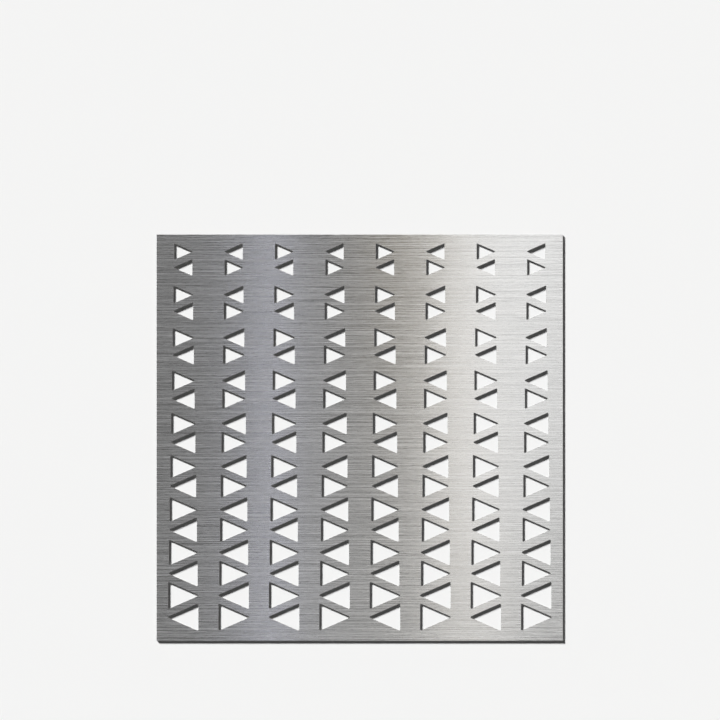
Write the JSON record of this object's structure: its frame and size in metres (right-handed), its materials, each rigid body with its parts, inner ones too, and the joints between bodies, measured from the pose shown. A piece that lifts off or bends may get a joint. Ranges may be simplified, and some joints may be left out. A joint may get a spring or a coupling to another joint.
{
  "type": "decorative metal sheet",
  "caption": "Flat square brushed-metal panel with a graded field of triangular cut-outs that point left and right by turns, for cladding, screens and infill.",
  "frame": {"origin": "middle of the sheet's back face, which lies on the floor", "axes": "+X to the sheet's right edge, +Y to its top edge, where the cut-outs are smallest, +Z out of its front face"},
  "size_m": [1, 1, 0.002],
  "materials": {
    "sheet": "hairline brushed on the faces, with the lines from left to right, and plain cut edges"
  },
  "bodies": {
    "root": {"sheet": "sheet"}
  },
  "joints": []
}
